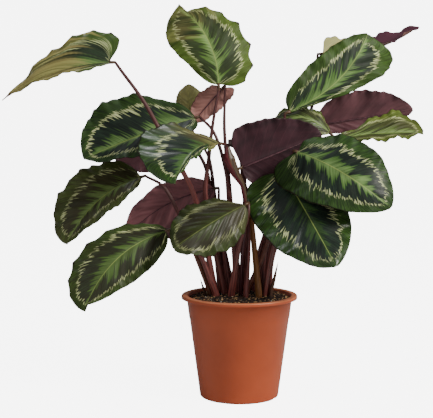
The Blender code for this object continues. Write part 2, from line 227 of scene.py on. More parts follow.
def smoothRoute(points, count):
    # points read at even steps from a smooth curve through the route's own points
    ends = [points[0] * 2 - points[1], *points, points[-1] * 2 - points[-2]]
    spans = len(points) - 1
    route = []
    for i in range(count):
        at = min(i * spans / (count - 1), spans - 1e-6)
        k = int(at)
        f = at - k
        a, b, c, d = ends[k:k + 4]
        route.append(0.5 * ((2 * b) + (c - a) * f + (2 * a - 5 * b + 4 * c - d) * f ** 2
                            + (3 * b - a - 3 * c + d) * f ** 3))
    return route


def fadeIn(value, start, end):
    share = min(max((value - start) / (end - start), 0), 1)
    return share * share * (3 - 2 * share)


def makeTube(name, route, radiusAt, sides, materials, replaced=()):
    # radiusAt takes the share of the way along and the angle round
    rows = len(route) - 1
    form = newGrid(rows, sides, "tubeMap")
    aheads = [(route[min(i + 1, rows)] - route[max(i - 1, 0)]).normalized() for i in range(rows + 1)]
    side = aheads[0].orthogonal().normalized()
    sideways = []
    for ahead in aheads:
        side = (side - side.dot(ahead) * ahead).normalized()
        sideways.append(side)
    for vert in form.verts:
        share = vert.co.x + 0.5
        turn = 2 * pi * (vert.co.y + 0.5)
        i = round(share * rows)
        across = aheads[i].cross(sideways[i])
        reach = radiusAt(share, turn)
        vert.co = route[i] + (sideways[i] * cos(turn) + across * sin(turn)) * reach
    bmesh.ops.remove_doubles(form, verts=form.verts, dist=1e-6)
    bmesh.ops.holes_fill(form, edges=form.edges, sides=0)
    bmesh.ops.recalc_face_normals(form, faces=form.faces)
    return newPiece(name, form, materials, replaced)


# Camera, at the height and distance that the picture was taken from

view = dict(place=(-0.0374, -1.90, 0.4816), tiltDown=5.19, lens=97.3, sensor=36.0)


def makeCamera():
    data = bpy.data.cameras.new("camera")
    data.lens = view["lens"]
    data.sensor_width = view["sensor"]
    camera = newObject("camera", data)
    camera.location = view["place"]
    camera.rotation_euler = (radians(90 - view["tiltDown"]), 0, 0)
    bpy.context.scene.camera = camera


# Leaves. Base and tip are the ends of the rib, and faces is the way that the upper side looks. The
# pairs are for the left and the right half, as seen on the upper side with the tip up: half is how
# wide each is, drop how far it turns down in degrees, and broad where along the rib it is widest.
# What a leaf's own lines don't name, it has from the two plain ones.

plainShape = dict(
    arch=0,  # how far the middle of the rib stands up
    bow=0,  # and to the left
    lobe=(0.06, 0.06),  # how far the margin reaches back beside the stalk
    full=(0.66, 0.66),  # how pointed the ends are, with less for rounder ones
    meets=(1.0, 1.0),  # where along the rib each half ends
    sweep=0.22,  # how far the margin is carried forward
    pleat=1.0,  # how strong the folds between the side veins are
    cusp=(0.015, 0.015),  # how far the margin's points stand out
)

plainLook = dict(
    slant=0.24,  # how far the side veins run forward on their way to the margin
    ring=0.65,  # where the pale ring lies, as a share of the way out
    ringWide=0.06,
    feather=0.6,  # how clear the pale strokes along the rib are
    lime=0.0,  # how light and yellow the leaf is
    dusk=0.0,  # how brown its green is
    khaki=0.0,  # how far it has yellowed
    khakiFrom=-1.0,  # and from where along the rib
    khakiFoot=0.0,  # how far its foot has yellowed
    pale=0.0,  # how far it has paled all over
    paintedShade=0.0,  # how much darker it is painted than the others, as painted shade
    wet=0.25,  # how glossy its upper side is
    blushAndPaintedLight=0.2,  # how pink its underside is, partly its own pink and partly painted light that brightens it
    flare=2.0,  # from where along the rib its upper side is purple
)

leafShapes = {
    "top_left": dict(
        base=(-0.205, -0.04, 0.545), tip=(-0.37, -0.075, 0.485), faces=(0.0, -0.8, 0.55),
        arch=0.014, bow=-0.008, half=(0.012, 0.061), drop=(-10, -12), broad=(0.22, 0.19),
        lobe=(0.0, 0.3), full=(1.2, 1.75), pleat=2.2, cusp=(0.02, 0.11),
        slant=0.85, feather=0.4, lime=0.2, khaki=1.0, khakiFrom=0.26, flare=0.9),
    "crown": dict(
        base=(-0.034, 0.0, 0.511), tip=(-0.1, 0.02, 0.638), faces=(0.05, -1.0, 0.25),
        arch=0.014, bow=-0.016, half=(0.057, 0.062), drop=(4, 4), broad=(0.6, 0.36), lobe=(0.0, 0.14),
        full=(0.3, 0.62), meets=(1.02, 0.87), cusp=(0.0, 0.13),
        ring=0.64, ringWide=0.055, feather=1.0, lime=0.65, khaki=0.45, khakiFrom=0.62, wet=0.0),
    "left_upper": dict(
        base=(-0.072, 0.02, 0.457), tip=(-0.248, -0.041, 0.392), faces=(0.03, -0.76, 0.63),
        arch=0.008, half=(0.046, 0.082), drop=(-16, -14), broad=(0.4, 0.53), full=(0.66, 0.58),
        cusp=(0.02, 0.03),
        ring=0.58, ringWide=0.07, feather=0.7, paintedShade=0.26, wet=0.15),
    "mid_front": dict(
        base=(-0.033, -0.055, 0.418), tip=(-0.099, -0.185, 0.363), faces=(0.1, -0.5, 0.85),
        arch=0.018, bow=-0.009, half=(0.01, 0.088), drop=(30, -6), broad=(0.3, 0.45), lobe=(0.0, 0.25),
        full=(1.0, 0.48), cusp=(0.02, 0.03),
        ring=0.56, ringWide=0.06, feather=0.3, khakiFoot=0.95, wet=0.6),
    "centre_back": dict(
        base=(0.003, -0.021, 0.378), tip=(0.134, 0.013, 0.43), faces=(-0.3, 0.95, 0.15),
        half=(0.052, 0.069), drop=(-10, 4), broad=(0.4, 0.2), lobe=(0.1, 0.1), full=(0.66, 0.56),
        cusp=(0.02, 0.03),
        blushAndPaintedLight=0.0),
    "right_front": dict(
        base=(0.09, -0.042, 0.404), tip=(0.23, -0.112, 0.321), faces=(-0.2, -0.85, 0.45),
        arch=0.03, half=(0.063, 0.065), drop=(4, 6), broad=(0.52, 0.34), lobe=(0.4, 0.4),
        cusp=(0.01, 0.01),
        ring=0.58, ringWide=0.05, feather=0.8, paintedShade=0.1, wet=0.1),
    "right_low": dict(
        base=(0.067, -0.024, 0.373), tip=(0.146, -0.124, 0.232), faces=(-0.15, -0.85, 0.5),
        arch=0.01, half=(0.062, 0.079), drop=(6, 5), broad=(0.49, 0.35), lobe=(0.18, 0.31),
        cusp=(0.01, 0.01),
        ring=0.6, ringWide=0.05, feather=0.12, wet=1.0),
    "right_top": dict(
        base=(0.081, 0.008, 0.467), tip=(0.211, 0.042, 0.594), faces=(0.25, -0.95, 0.0),
        arch=0.01, bow=-0.018, half=(0.05, 0.066), drop=(4, 6), broad=(0.34, 0.81), lobe=(0.06, 0.0),
        full=(0.66, 0.38), sweep=0.6, pleat=1.4, cusp=(0.02, 0.03),
        ring=0.55, ringWide=0.04, feather=0.6, lime=0.15, wet=0.0),
    "right_far": dict(
        base=(0.143, 0.109, 0.564), tip=(0.302, 0.086, 0.609), faces=(-0.1, 0.3, 0.95),
        arch=-0.015, half=(0.057, 0.024), drop=(-56, 10), broad=(0.16, 0.34),
        lime=0.8, khaki=0.5, pale=0.95, wet=0.0, flare=0.3),
    "right_upright": dict(
        base=(0.13, 0.064, 0.445), tip=(0.292, 0.07, 0.47), faces=(-0.15, 0.95, 0.25),
        half=(0.024, 0.05), drop=(4, 4), broad=(0.4, 0.4), cusp=(0.02, 0.03),
        blushAndPaintedLight=0.28),
    "right_edge": dict(
        base=(0.146, -0.012, 0.422), tip=(0.298, 0.002, 0.432), faces=(0.0, -0.45, 0.9),
        arch=0.006, half=(0.05, 0.03), drop=(-24, -12), broad=(0.7, 0.4), lobe=(0.0, 0.0), pleat=1.6,
        cusp=(0.01, 0.03),
        slant=0.6, ring=0.6, feather=1.0, lime=0.7, dusk=0.15, khaki=0.15),
    "right_inner": dict(
        base=(0.15, 0.038, 0.432), tip=(0.054, 0.036, 0.452), faces=(0.1, -0.8, 0.6),
        arch=0.016, bow=-0.008, half=(0.03, 0.028), drop=(10, 6), broad=(0.45, 0.4), lobe=(0.0, 0.0),
        cusp=(0.03, 0.03),
        slant=0.6, feather=0.8, lime=0.5, dusk=0.2, khaki=0.1),
    "left_middle": dict(
        base=(-0.16, 0.005, 0.361), tip=(-0.276, -0.05, 0.257), faces=(-0.05, -0.85, 0.5),
        arch=0.02, bow=-0.011, half=(0.033, 0.059), drop=(-18, -18), broad=(0.38, 0.46),
        lobe=(0.0, 0.0), full=(0.9, 0.5), cusp=(0.02, 0.06),
        ring=0.58, ringWide=0.045, feather=0.7, dusk=0.6, khaki=0.1, wet=0.15),
    "left_low": dict(
        base=(-0.117, -0.055, 0.279), tip=(-0.242, -0.116, 0.161), faces=(0.1, -0.93, 0.35),
        arch=0.012, bow=-0.021, half=(0.045, 0.052), drop=(6, 6), broad=(0.4, 0.57), full=(0.66, 0.48),
        meets=(0.93, 1.0), cusp=(0.01, 0.08),
        ring=0.66, ringWide=0.045, feather=0.4, dusk=0.45, wet=0.1),
    "front_low": dict(
        base=(0.008, -0.055, 0.321), tip=(-0.103, -0.128, 0.26), faces=(0.15, -0.7, 0.7),
        arch=0.008, half=(0.048, 0.06), drop=(28, 14), broad=(0.42, 0.46), pleat=1.6, cusp=(0.08, 0.03),
        slant=0.5, ring=0.62, ringWide=0.065, feather=0.15, dusk=0.5, khakiFoot=0.15, paintedShade=0.36,
        wet=0.15),
    "left_back": dict(
        base=(-0.041, 0.034, 0.34), tip=(-0.192, 0.052, 0.255), faces=(-0.1, 0.92, 0.36),
        arch=0.016, bow=0.01, half=(0.04, 0.04), drop=(4, 4), broad=(0.42, 0.42), pleat=2.2,
        blushAndPaintedLight=0.75),
    "back_left": dict(
        base=(-0.066, 0.082, 0.406), tip=(-0.218, 0.112, 0.394), faces=(0.19, 0.95, 0.25),
        arch=0.01, half=(0.038, 0.04), drop=(4, 4), broad=(0.44, 0.5)),
    "top_khaki": dict(
        base=(-0.078, 0.074, 0.44), tip=(-0.086, 0.066, 0.512), faces=(0.0, -1.0, 0.1),
        arch=0.006, half=(0.023, 0.024), drop=(6, 6), broad=(0.56, 0.6), cusp=(0.05, 0.06),
        feather=0.3, khaki=0.9, pale=0.6, wet=0.0),
    "top_back": dict(
        base=(-0.028, 0.044, 0.505), tip=(-0.078, 0.06, 0.446), faces=(-0.1, 0.95, 0.25),
        arch=0.004, half=(0.025, 0.022), drop=(4, 4), broad=(0.4, 0.3), lobe=(0.1, 0.4),
        cusp=(0.03, 0.05),
        khaki=0.9, blushAndPaintedLight=1.0),
    "back_right": dict(
        base=(0.089, 0.085, 0.376), tip=(0.224, 0.088, 0.302), faces=(0.1, 0.6, 0.8),
        arch=0.016, half=(0.042, 0.046), drop=(6, 6), broad=(0.44, 0.44), cusp=(0.02, 0.03),
        dusk=0.3),
    "back_centre": dict(
        base=(0.012, 0.105, 0.42), tip=(0.06, 0.26, 0.376), faces=(0.0, 0.25, 1.0),
        arch=0.024, half=(0.052, 0.052), drop=(8, 8), broad=(0.44, 0.44), cusp=(0.03, 0.03)),
    "back_low_left": dict(
        base=(-0.05, 0.088, 0.302), tip=(-0.125, 0.215, 0.236), faces=(-0.1, 0.45, 0.9),
        arch=0.02, half=(0.05, 0.05), drop=(8, 8), broad=(0.44, 0.44), cusp=(0.03, 0.02)),
    "back_low_right": dict(
        base=(0.07, 0.092, 0.302), tip=(0.135, 0.215, 0.238), faces=(0.1, 0.45, 0.9),
        arch=0.02, half=(0.05, 0.05), drop=(8, 8), broad=(0.44, 0.44), cusp=(0.02, 0.04),
        dusk=0.2),
}

blade = dict(
    thickness=0.0007,
    rows=112,
    columns=44,
    endWidth=0.05,
    curl=0.10,
    waveHeight=0.0035,
    waveCount=3.5,
    waveSidePhase=1.7,
    waveLeafPhase=2.4,
    ruffleHeight=0.0016,
    ruffleCount=11,
    pleats=9,  # side veins on each half
    pleatHeight=0.0012,  # how far the blade stands up between two of them
    cuspCount=9,
    dryCusp=0.04,  # points that stand out more than this are brown
    ribDepth=0.0012,  # how far the rib sinks into the upper side
    ribWidth=0.05,
)


def leafFrame(leaf):
    base = Vector(leaf["base"])
    chord = Vector(leaf["tip"]) - base
    ahead = chord.normalized()
    faces = Vector(leaf["faces"])
    normal = (faces - faces.dot(ahead) * ahead).normalized()
    return base, chord, normal, normal.cross(ahead)


def ribPoint(leaf, axes, t):
    base, chord, normal, left = axes
    hump = 4 * t * (1 - t)
    return base + chord * t + normal * (leaf["arch"] * hump) + left * (leaf["bow"] * hump)


def ribDirection(leaf, axes, t):
    return (ribPoint(leaf, axes, t + 0.01) - ribPoint(leaf, axes, t - 0.01)).normalized()


def outline(t, broad, full):
    skew = log(0.5) / log(broad)
    return max(blade["endWidth"], max(0, sin(pi * t ** skew)) ** full)


def cuspPhase(t, side, order):
    # 0 at the margin's points and 1 between them
    turns = blade["cuspCount"] * t + 0.6 * sin(5 * t + order) + 0.29 * order + 0.5 * side
    return abs(sin(pi * turns))


def pleatLift(leaf, t, out, side, order):
    # how far the blade stands up between two side veins, not the same for each fold
    forward = t - leaf["slant"] * out
    fold = abs(sin(pi * (blade["pleats"] * forward + 0.37 * side + 0.21 * order)))
    uneven = 0.75 + 0.35 * sin(11 * forward + 2.1 * order + 2.6 * side)
    fullest = sin(pi * min(out * 1.05, 1) ** 0.7)
    return blade["pleatHeight"] * leaf["pleat"] * uneven * (fold - 0.5) * fullest


def bladePoint(leaf, axes, t, across, order):
    # t runs from 0 at the base to 1 at the tip, and across from -1 at the right margin to 1 at the left
    side = 0 if across >= 0 else 1
    out = abs(across)
    spread = outline(min(t / leaf["meets"][side], 1), leaf["broad"][side], leaf["full"][side])
    lobe = leaf["lobe"][side] * (spread - blade["endWidth"]) * (1 - t) ** 2
    s = t + leaf["sweep"] * out * t * (1 - t) - lobe * out ** 2
    ahead = ribDirection(leaf, axes, s)
    normal = (axes[2] - axes[2].dot(ahead) * ahead).normalized()
    left = normal.cross(ahead)
    drop = radians(leaf["drop"][side])
    outward = left * (1 if side == 0 else -1) * cos(drop) - normal * sin(drop)
    width = leaf["half"][side] * spread
    reach = 1 + leaf["cusp"][side] * (0.45 - cuspPhase(t, side, order)) * out ** 4

    phase = blade["waveLeafPhase"] * order + side * blade["waveSidePhase"]
    wave = blade["waveHeight"] * out ** 2 * sin(2 * pi * blade["waveCount"] * t + phase)
    ruffle = blade["ruffleHeight"] * out ** 5 * sin(2 * pi * blade["ruffleCount"] * t + 1.3 * phase)
    pleat = pleatLift(leaf, t, out, side, order) * spread
    rib = -blade["ribDepth"] * exp(-(out / blade["ribWidth"]) ** 2) * spread
    lift = wave + ruffle * spread + pleat + rib - blade["curl"] * width * out ** 2
    return ribPoint(leaf, axes, s) + outward * (width * out * reach) + normal * lift


def makeBlade(name, leaf, order, materials):
    axes = leafFrame(leaf)
    form = newGrid(blade["rows"], blade["columns"], "leafMap")
    cuspTips = []
    for vert in form.verts:
        t, across = vert.co.x + 0.5, vert.co.y * 2
        side = 0 if across >= 0 else 1
        dry = leaf["cusp"][side] > blade["dryCusp"]
        cuspTips.append(max(0, 1 - 4 * cuspPhase(t, side, order)) if dry else 0.0)
        vert.co = bladePoint(leaf, axes, t, across, order)
    piece = newPiece("blade_" + name, form, materials, ["leaf_" + name])
    markMesh(piece.data, cuspTip=cuspTips, leafSeed=3.7 * order, **{key: leaf[key] for key in plainLook})
    solid = piece.modifiers.new("thickness", "SOLIDIFY")
    solid.thickness = blade["thickness"]
    solid.offset = 0
    solid.use_rim = True
    solid.material_offset = 1
    solid.material_offset_rim = 1


# The rib stands out of the underside as a thin rounded ridge
ribRidge = dict(radius=0.0014, endRadius=0.0003, start=0.004, reach=0.93, sides=10, points=48)


def makeRib(name, leaf, order, materials):
    axes = leafFrame(leaf)

    def radiusAt(share, turn=0):
        return ribRidge["endRadius"] + (ribRidge["radius"] - ribRidge["endRadius"]) * (1 - share) ** 0.8

    route = []
    for i in range(ribRidge["points"]):
        share = i / (ribRidge["points"] - 1)
        middle = bladePoint(leaf, axes, ribRidge["start"] + ribRidge["reach"] * share, 0, order)
        route.append(middle - axes[2] * (radiusAt(share) * 0.75 + blade["thickness"] / 2))
    makeTube("rib_" + name, route, radiusAt, ribRidge["sides"], materials)


# What the two sides of a blade share: where a point lies, the veins and the fine streaks along them.
# A streak, stroke or bundle has its count along the blade, its change on the way out, and the detail
# and roughness of its noise.

veinMarks = dict(
    streak=(120.0, 2.6, 3.0, 0.6),
    stroke=(64.0, 1.6, 1.0, 0.5),
    bundle=(13.0, 0.8, 1.0, 0.5),
    drift=3.2,  # broad places, by their count
    middle=0.47,  # where along the rib the ring is widest
    roundSides=2.6,  # how round the ring is at its sides
    squareEnds=9.0,  # and how square at its ends
    veinWidth=0.14,
    ribInner=0.005,
    ribOuter=0.018,
)


def makeVeinGroup():
    marks = veinMarks
    takes = ("Along", "Across", "Seed", "Slant", "Veins")
    gives = ("Out", "Round", "Streak", "Stroke", "Bundle", "Vein", "Rib", "Drift", "Height")
    tree, given, result = newGroup("bladeVeins", takes, gives)

    # Round grows from the middle to the margin, and closes before the tip
    along = given["Along"]
    signed = timesPlus(given["Across"], 2.0, -1.0)
    out = calc("ABSOLUTE", signed)
    lengthwise = calc("DIVIDE", minus(along, marks["middle"]), 1 - marks["middle"])
    lengthwise = calc("POWER", calc("ABSOLUTE", lengthwise), marks["squareEnds"])
    total = plus(calc("POWER", out, marks["roundSides"]), lengthwise)
    feed(result["Round"], calc("POWER", total, 1 / marks["roundSides"]))

    # Forward stays the same all along a side vein
    side = calc("LESS_THAN", signed, 0.0)
    sideSeed = timesPlus(side, 5.3, given["Seed"])
    forward = minus(along, times(out, given["Slant"]))

    def alongVeins(count, change, detail, rough):
        spot = join(times(forward, count), times(out, change), sideSeed)
        return cloud(spot, 1.0, detail, rough)

    streak = alongVeins(*marks["streak"])
    stroke = alongVeins(*marks["stroke"])
    order = timesPlus(forward, given["Veins"], sideSeed)
    ridge = calc("ABSOLUTE", calc("SINE", times(order, pi)))
    vein = fade(ridge, marks["veinWidth"], 0.0)
    height = timesPlus(streak, 0.7, times(vein, -0.35))
    feed(result["Out"], out)
    feed(result["Streak"], streak)
    feed(result["Stroke"], stroke)
    feed(result["Bundle"], alongVeins(*marks["bundle"]))
    feed(result["Vein"], vein)
    feed(result["Rib"], fade(out, marks["ribOuter"], marks["ribInner"]))
    feed(result["Drift"], cloud(join(along, signed, sideSeed), marks["drift"], 1.0))
    feed(result["Height"], timesPlus(stroke, 0.5, height))
    return tree


def placeVeins(tree, veins, along, across):
    return placeGroup(tree, veins, Along=along, Across=across, Seed=marked(tree, "leafSeed"),
                      Slant=marked(tree, "slant"), Veins=blade["pleats"])


upperSide = dict(
    margin="3d6026",
    marginDark="172a0f",
    ring="d3dca2",
    ringDull="7b984c",
    inner="111d17",
    innerLight="2a3e2e",
    feather="84a463",
    featherDeep="3f6428",
    rib="a3b663",
    lime="93a83c",
    khaki="a3985c",
    khakiDark="4c4a26",
    dusk="4a3c12",
    pale="d4d28c",
    flare="55293a",
    edge="24150f",
    ringDrift=0.16,  # how far the ring wanders in and out
    ringBundles=0.217,  # how far it changes from one side vein to the next
    ringTeeth=0.62,  # how far its edges break up into strokes along the veins
    ringFray=0.40,  # and how far they change one by one
    featherReach=0.20,
    featherBundles=1.15,  # how far the feather's length changes from one side vein to the next
    featherStrokes=0.85,  # and from stroke to stroke
    featherLeast=0.05,
    veinShow=0.16,
    ribShow=0.75,
    limeInner=0.13,  # the share of lime inside the ring, and at the margin
    limeMargin=0.34,
    khakiVeil=0.30,  # how much of its green shows through the khaki
    paleMost=0.7,
    duskMost=0.5,
    roughness=0.55,
    wetRoughness=0.42,
    flareRoughness=0.2,  # on top of the others
    gloss=0.26,
    coat=1.0,
    coatRoughness=0.20,
    relief=(0.40, 0.0008),
)


def paintRing(tree, look, part, shift):
    # the inner field, the ring and the margin, each streaked, and where the margin starts
    streak = part["Streak"]
    inner = mix(fade(streak, 0.35, 0.75), look["inner"], look["innerLight"])
    ring = mix(fade(streak, 0.32, 0.58), look["ringDull"], look["ring"])
    margin = mix(fade(streak, 0.30, 0.70), look["marginDark"], look["margin"])
    ringAt = timesPlus(shift["Drift"], look["ringDrift"], marked(tree, "ring"))
    ringAt = timesPlus(shift["Bundle"], look["ringBundles"], ringAt)
    ringStart = timesPlus(shift["Stroke"], look["ringTeeth"], ringAt)
    wide = timesPlus(shift["Streak"], look["ringFray"], marked(tree, "ringWide"))
    ringEnd = plus(timesPlus(shift["Stroke"], look["ringTeeth"] * 0.5, ringAt), wide)
    started = fade(minus(part["Round"], ringStart), -0.012, 0.014)
    ended = fade(minus(part["Round"], ringEnd), -0.016, 0.016)
    return mix(ended, mix(started, inner, ring), margin), ended


def paintFeather(tree, look, part, shift, along, colour):
    # strokes that leave the rib along the side veins, brightest at the rib
    show = marked(tree, "feather")
    reach = timesPlus(shift["Bundle"], look["featherBundles"], look["featherReach"])
    reach = timesPlus(shift["Stroke"], look["featherStrokes"], reach)
    footEnd = fade(along, 0.0, 0.25, 0.5, 1.0)
    tipEnd = fade(along, 0.60, 1.0, 1.0, 0.35)
    reach = times(reach, times(footEnd, tipEnd))
    reach = calc("MAXIMUM", reach, look["featherLeast"])
    near = fade(calc("DIVIDE", part["Out"], reach), 1.05, 0.15)
    bright = times(near, fade(part["Streak"], 0.30, 0.62, 0.25, 1.0))
    feather = mix(times(bright, show), look["featherDeep"], look["feather"])
    feathered = fade(minus(part["Out"], reach), 0.02, -0.045)
    feathered = times(feathered, fade(part["Round"], 0.82, 0.70))
    feathered = times(feathered, fade(show, 0.0, 0.6, 0.35, 1.0))
    return mix(feathered, colour, feather)


def paintAge(tree, look, part, shift, along, colour):
    # khaki in patches along the side veins, towards the tip and at the foot, then paling and browning
    patch = timesPlus(part["Bundle"], 0.65, times(part["Streak"], 0.35))
    khaki = mix(fade(patch, 0.36, 0.60), look["khakiDark"], look["khaki"])
    khaki = mix(look["khakiVeil"], khaki, colour)
    place = timesPlus(shift["Bundle"], 0.6, along)
    tipward = fade(minus(place, marked(tree, "khakiFrom")), -0.08, 0.12)
    footward = times(marked(tree, "khakiFoot"), fade(place, 0.34, 0.10))
    share = calc("MAXIMUM", times(marked(tree, "khaki"), tipward), footward)
    colour = mix(share, colour, khaki)
    colour = mix(times(marked(tree, "pale"), look["paleMost"]), colour, look["pale"])
    return mix(times(marked(tree, "dusk"), look["duskMost"]), colour, look["dusk"])


def makeUpperMaterial(veins):
    material, tree, shader = newMaterial("leafUpper")
    look = upperSide
    along, across = mapPlace(tree, "leafMap")
    part = placeVeins(tree, veins, along, across)
    shift = {name: minus(part[name], 0.5) for name in ("Streak", "Stroke", "Bundle", "Drift")}
    colour, atMargin = paintRing(tree, look, part, shift)
    colour = paintFeather(tree, look, part, shift, along, colour)
    colour = mix(times(part["Vein"], look["veinShow"]), colour, look["featherDeep"])
    colour = mix(times(part["Rib"], look["ribShow"]), colour, look["rib"])
    limeShare = fade(atMargin, 0.0, 1.0, look["limeInner"], look["limeMargin"])
    colour = mix(times(marked(tree, "lime"), limeShare), colour, look["lime"])

    # painted light and shade: broad darker and lighter places, and light and shade painted from one side
    # vein to the next, where the folds catch the light
    paintedLightAndShade = times(fade(part["Drift"], 0.32, 0.62, 0.74, 1.08),
                 fade(part["Bundle"], 0.30, 0.70, 0.84, 1.10))
    # painted shade: each leaf is made darker by its own share
    paintedLightAndShade = times(paintedLightAndShade, minus(1.0, marked(tree, "paintedShade")))
    colour = mix(1.0, colour, paintedLightAndShade, "MULTIPLY")
    colour = paintAge(tree, look, part, shift, along, colour)
    flareAt = timesPlus(shift["Bundle"], 0.5, marked(tree, "flare"))
    flared = fade(minus(along, flareAt), -0.04, 0.10)
    colour = mix(flared, colour, look["flare"])
    rim = plus(part["Out"], times(marked(tree, "cuspTip"), 0.05))
    colour = mix(fade(rim, 0.975, 0.995), colour, look["edge"])

    # a wet leaf is smoother, and shines in the hollows between its streaks
    wet = marked(tree, "wet")
    glint = times(wet, fade(part["Streak"], 0.58, 0.42, 0.15, 1.0))
    feed(shader.inputs["Coat Weight"], times(glint, look["coat"]))
    shader.inputs["Coat Roughness"].default_value = look["coatRoughness"]
    shader.inputs["Specular IOR Level"].default_value = look["gloss"]
    rough = fade(wet, 0.0, 1.0, look["roughness"], look["wetRoughness"])
    rough = timesPlus(flared, look["flareRoughness"], rough)
    finishShader(shader, look, colour, rough, part["Height"])
    return material


underSide = dict(
    base="3f202a",
    deep="28131c",
    blushAndPaintedLight="a26c72",
    vein="7c4a58",
    veinShow=0.12,
    rib="7d4d55",
    ribShow=0.5,
    khaki="b8877b",
    khakiShow=0.8,
    edge="33181e",
    gloss=0.35,
    roughness=0.48,
    roughnessChange=0.15,  # from streak to streak
    relief=(0.22, 0.0008),
)


def makeUnderMaterial(veins):
    material, tree, shader = newMaterial("leafUnder")
    look = underSide
    part = placeVeins(tree, veins, *mapPlace(tree, "leafMap"))
    mottle = timesPlus(part["Streak"], 0.35, times(part["Drift"], 0.65))
    colour = mix(fade(mottle, 0.30, 0.66), look["deep"], look["base"])
    # its own pink, and painted light: a lighter pink that brightens the underside where light falls through
    # it
    blushAndPaintedLight = times(marked(tree, "blushAndPaintedLight"), fade(part["Bundle"], 0.3, 0.7, 0.5, 1.0))
    colour = mix(blushAndPaintedLight, colour, look["blushAndPaintedLight"])
    colour = mix(times(part["Vein"], look["veinShow"]), colour, look["vein"])
    colour = mix(times(part["Rib"], look["ribShow"]), colour, look["rib"])
    colour = mix(times(marked(tree, "khaki"), look["khakiShow"]), colour, look["khaki"])
    colour = mix(fade(part["Out"], 0.97, 1.0), colour, look["edge"])
    shader.inputs["Specular IOR Level"].default_value = look["gloss"]
    rough = timesPlus(part["Streak"], look["roughnessChange"], look["roughness"])
    finishShader(shader, look, colour, rough, part["Height"])
    return material


# Stalks. Each has its foot on the soil, seen from above, and the points on its way to its blade.

stalkRoutes = {
    "top_left": ((-0.039, -0.009), (-0.07, -0.022, 0.323), (-0.113, -0.054, 0.412),
                 (-0.15, -0.047, 0.48), (-0.187, -0.042, 0.531)),
    "crown": ((-0.024, -0.004), (-0.054, -0.002, 0.32), (-0.05, 0.0, 0.39), (-0.043, 0.0, 0.45)),
    "left_upper": ((0.0, 0.006), (-0.016, 0.012, 0.318), (-0.022, 0.014, 0.37), (-0.04, 0.018, 0.43)),
    "mid_front": ((0.031, -0.028), (0.018, -0.008, 0.3), (0.006, 0.002, 0.36), (-0.002, -0.004, 0.405)),
    "centre_back": ((0.01, -0.032), (0.014, -0.022, 0.26), (0.008, -0.01, 0.325)),
    "right_front": ((0.041, -0.016), (0.052, -0.02, 0.245), (0.073, -0.012, 0.32), (0.084, -0.016, 0.366)),
    "right_low": ((0.013, -0.006), (0.043, -0.006, 0.248), (0.057, -0.022, 0.335)),
    "right_top": ((0.034, 0.006), (0.044, 0.01, 0.25), (0.07, 0.014, 0.38)),
    "right_far": ((0.036, 0.037), (0.05, 0.046, 0.245), (0.092, 0.06, 0.38), (0.128, 0.092, 0.49)),
    "right_upright": ((0.043, 0.022), (0.053, 0.03, 0.245), (0.104, 0.05, 0.38)),
    "right_edge": ((0.048, -0.002), (0.058, -0.006, 0.245), (0.112, -0.006, 0.375)),
    "right_inner": ((0.045, 0.01), (0.055, 0.014, 0.245), (0.112, 0.03, 0.365), (0.146, 0.036, 0.408)),
    "left_middle": ((-0.047, 0.004), (-0.086, 0.004, 0.27), (-0.12, 0.005, 0.34)),
    "left_low": ((-0.038, -0.022), (-0.062, -0.034, 0.235), (-0.088, -0.046, 0.28)),
    "front_low": ((-0.013, -0.024), (-0.001, -0.04, 0.255), (0.012, -0.052, 0.302)),
    "left_back": ((-0.016, 0.02), (-0.026, 0.027, 0.25), (-0.033, 0.03, 0.305)),
    "back_left": ((-0.026, 0.036), (-0.038, 0.056, 0.3), (-0.048, 0.074, 0.38)),
    "top_khaki": ((-0.032, 0.024), (-0.04, 0.034, 0.25), (-0.052, 0.068, 0.36), (-0.075, 0.067, 0.41)),
    "top_back": ((-0.004, 0.03), (-0.014, 0.038, 0.32), (-0.024, 0.04, 0.43)),
    "back_right": ((0.028, 0.022), (0.038, 0.032, 0.245), (0.066, 0.068, 0.335)),
    "back_centre": ((0.008, 0.042), (0.01, 0.062, 0.29), (0.01, 0.084, 0.39)),
    "back_low_left": ((-0.012, 0.044), (-0.026, 0.062, 0.24), (-0.04, 0.078, 0.29)),
    "back_low_right": ((0.024, 0.044), (0.036, 0.06, 0.235), (0.058, 0.082, 0.29)),
}

stalkTan = {"mid_front": 0.75, "right_low": 0.2, "left_middle": 0.3}  # how far a foot has turned tan

stalk = dict(
    radius=0.0021,
    footRadius=0.0050,  # with the sheaths that wrap it
    taper=1.2,
    jointRadius=0.0027,  # the swelling under the blade
    jointLength=0.008,
    jointShare=0.025,  # the share of the stalk that the swelling takes
    intoBlade=0.002,  # how far the stalk runs on under the blade
    overSoil=0.004,
    buried=0.010,
    points=72,
    sides=12,
    sheathEnd=0.38,  # share of the stalk that its sheath wraps
    sheathFold=0.22,  # how far the sheath's two sides stand out
    sheathCreases=0.05,
)


def footPoints(foot):
    ground = soilHeight(hypot(*foot))
    return Vector((*foot, ground - stalk["buried"])), Vector((*foot, ground + stalk["overSoil"]))


def makeStalk(name, leaf, route, order, materials):
    foot, *via = route
    buried, risen = footPoints(foot)
    axes = leafFrame(leaf)
    base = axes[0]
    ahead = ribDirection(leaf, axes, 0.02)
    neck = base - ahead * stalk["jointLength"]
    way = smoothRoute([risen, *[Vector(point) for point in via], neck], stalk["points"])
    way = [buried, *way, base - ahead * stalk["jointLength"] * 0.5, base + ahead * stalk["intoBlade"]]

    def radiusAt(share, turn):
        plain = stalk["radius"] + (stalk["footRadius"] - stalk["radius"]) * (1 - share) ** stalk["taper"]
        swelling = exp(-((1 - share) / stalk["jointShare"]) ** 2)
        joint = (stalk["jointRadius"] - stalk["radius"]) * swelling
        sheathed = max(0, 1 - share / stalk["sheathEnd"])
        fold = stalk["sheathFold"] * sheathed * cos(2 * turn + order)
        return (plain + joint) * (1 + fold + stalk["sheathCreases"] * sheathed * cos(5 * turn))

    piece = makeTube("petiole_" + name, way, radiusAt, stalk["sides"], materials,
                     ["stalk_" + name])
    markMesh(piece.data, leafSeed=1.9 * order, tan=stalkTan.get(name, 0.0))


